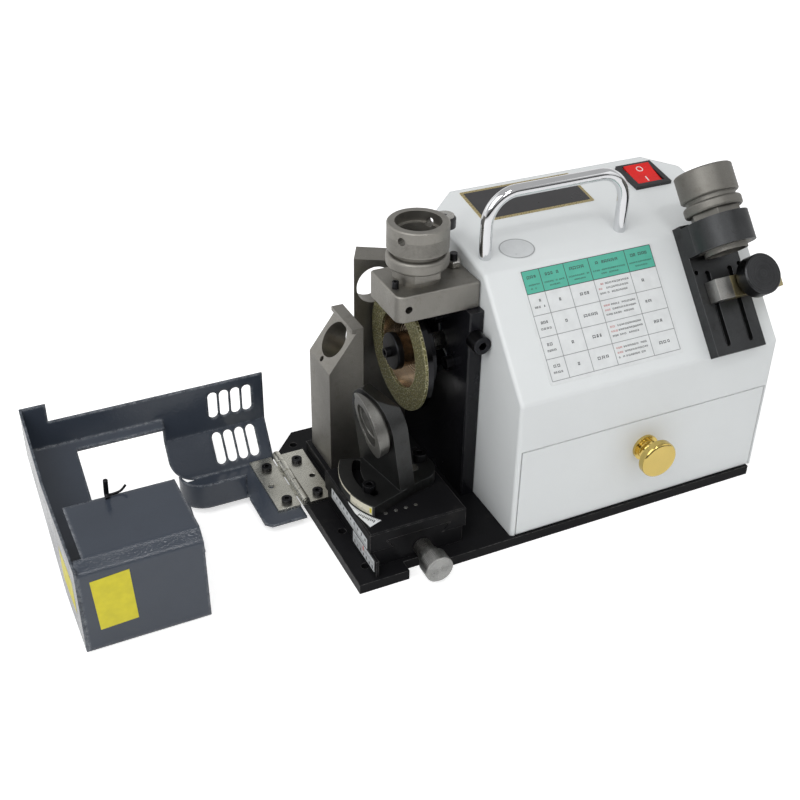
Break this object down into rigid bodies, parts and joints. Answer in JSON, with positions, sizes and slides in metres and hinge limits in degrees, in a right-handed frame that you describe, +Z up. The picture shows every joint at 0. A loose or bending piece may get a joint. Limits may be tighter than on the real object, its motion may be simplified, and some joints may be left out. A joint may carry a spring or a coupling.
{
  "type": "endmill grinder",
  "caption": "Bench endmill sharpener: motor housing with drawer, cup wheel head with tool seats, cross slide with swivel jig, hinged guard and setting gauge.",
  "frame": {"origin": "middle of the base plate's underside, which stands on the bench", "axes": "+X to the right along the base plate, +Y to the back, +Z up"},
  "size_m": [0.4696, 0.186, 0.2231],
  "materials": {
    "base_black": "fine textured black paint",
    "white_coat": "white powder coat",
    "guard_blue": "blue grey paint",
    "black_oxide": "black oxide",
    "grey_steel": "bead blasted steel",
    "dark_steel": "dark phosphated steel",
    "bright_steel": "ground steel",
    "chrome": "polished chrome",
    "brass": "polished brass",
    "red_plastic": "gloss",
    "black_plastic": "satin",
    "grit": "bonded diamond grit",
    "aluminium": "turned",
    "motor_paint": "grey paint"
  },
  "bodies": {
    "base": {"base_plate": "base_black", "base_screws": "black_oxide", "side_plate": "base_black", "edge_screw": "black_oxide", "motor_can": "motor_paint", "motor_stator": "bright_steel", "motor_bells": "motor_paint", "motor_bearings": "bright_steel", "motor_screws": "black_oxide", "run_capacitor": "black_plastic", "housing_shell": "white_coat", "cable_gland": "black_plastic", "drawer_runners": "bright_steel", "carry_handle": "chrome", "handle_screws": "black_oxide", "switch_frame": "black_plastic", "seat_plate": "grey_steel", "seat_stud": "black_oxide", "seat_nut": "bright_steel", "seat_collar": "grey_steel", "seat_ring": "grey_steel", "rear_plate": "grey_steel", "post_riser": "base_black", "post": "grey_steel", "slide_base": "base_black", "hinge_base_leaf": "bright_steel", "hinge_pin": "bright_steel", "hinge_base_screws": "black_oxide", "gauge_bracket": "grey_steel", "gauge_screws": "black_oxide", "gauge_seat": "grey_steel"},
    "wheel": {"grit_ring": "grit", "wheel_core": "bright_steel", "wheel_flange": "black_oxide", "wheel_screw": "bright_steel", "motor_shaft": "bright_steel", "motor_rotor": "bright_steel"},
    "drawer": {"drawer_front": "white_coat", "drawer_tray": "bright_steel", "drawer_knob": "brass", "knob_screw": "black_oxide"},
    "rocker": {"rocker_button": "red_plastic"},
    "seat_lock": {"lock_knob": "black_plastic"},
    "cross_slide": {"slide_table": "base_black", "stop_pins": "bright_steel", "feed_nut": "brass", "jig_clamp_screw": "black_oxide", "pivot_pin": "bright_steel"},
    "feed": {"feed_screw": "bright_steel", "feed_knob": "aluminium"},
    "jig": {"jig_body": "dark_steel", "jig_ring": "grey_steel", "jig_lock_screw": "black_oxide"},
    "guard": {"hinge_guard_leaf": "bright_steel", "hinge_guard_screws": "black_oxide", "guard_shell": "guard_blue", "guard_end_plate": "guard_blue"},
    "gauge_stop": {"stop_block": "bright_steel", "stop_brass": "brass"},
    "gauge_thumb": {"thumb_screw": "black_plastic"}
  },
  "joints": [
    {"name": "wheel_spin", "type": "hinge", "parent": "base", "child": "wheel", "pos_m": [-0.06, 0.012, 0.106], "axis": [1, 0, 0], "continuous": true},
    {"name": "drawer_pull", "type": "slide", "parent": "base", "child": "drawer", "axis": [0, -1, 0], "range_m": [0, 0.1]},
    {"name": "switch_rock", "type": "hinge", "parent": "base", "child": "rocker", "pos_m": [0.1195, 0.03851, 0.18351], "axis": [1, 0, 0], "range_deg": [-16, 0]},
    {"name": "seat_lock_turn", "type": "hinge", "parent": "base", "child": "seat_lock", "pos_m": [-0.0505, 0.0095, 0.18], "axis": [0, 0, 1], "continuous": true},
    {"name": "feed_turn", "type": "hinge", "parent": "base", "child": "feed", "pos_m": [-0.102, -0.09, 0.0135], "axis": [0, 1, 0], "range_deg": [-1730, 1730]},
    {"name": "cross_feed", "type": "slide", "parent": "base", "child": "cross_slide", "axis": [0, 1, 0], "range_m": [-0.006, 0.006]},
    {"name": "jig_swivel", "type": "hinge", "parent": "cross_slide", "child": "jig", "pos_m": [-0.089, -0.031, 0.038], "axis": [0, 0, -1], "range_deg": [-45, 6]},
    {"name": "guard_hinge", "type": "hinge", "parent": "base", "child": "guard", "pos_m": [-0.151, 0.031, 0.0102], "axis": [0, 1, 0], "range_deg": [0, 86]},
    {"name": "stop_slide", "type": "slide", "parent": "base", "child": "gauge_stop", "axis": [0, 0.6547, 0.7559], "range_m": [-0.012, 0.003]},
    {"name": "thumb_turn", "type": "hinge", "parent": "gauge_stop", "child": "gauge_thumb", "pos_m": [0.133, -0.07049, 0.15349], "axis": [0, -0.7559, 0.6547], "continuous": true}
  ],
  "couplings": [
    {"joint": "feed_turn", "follows": "cross_feed", "rad_per_m": 5026.5}
  ]
}
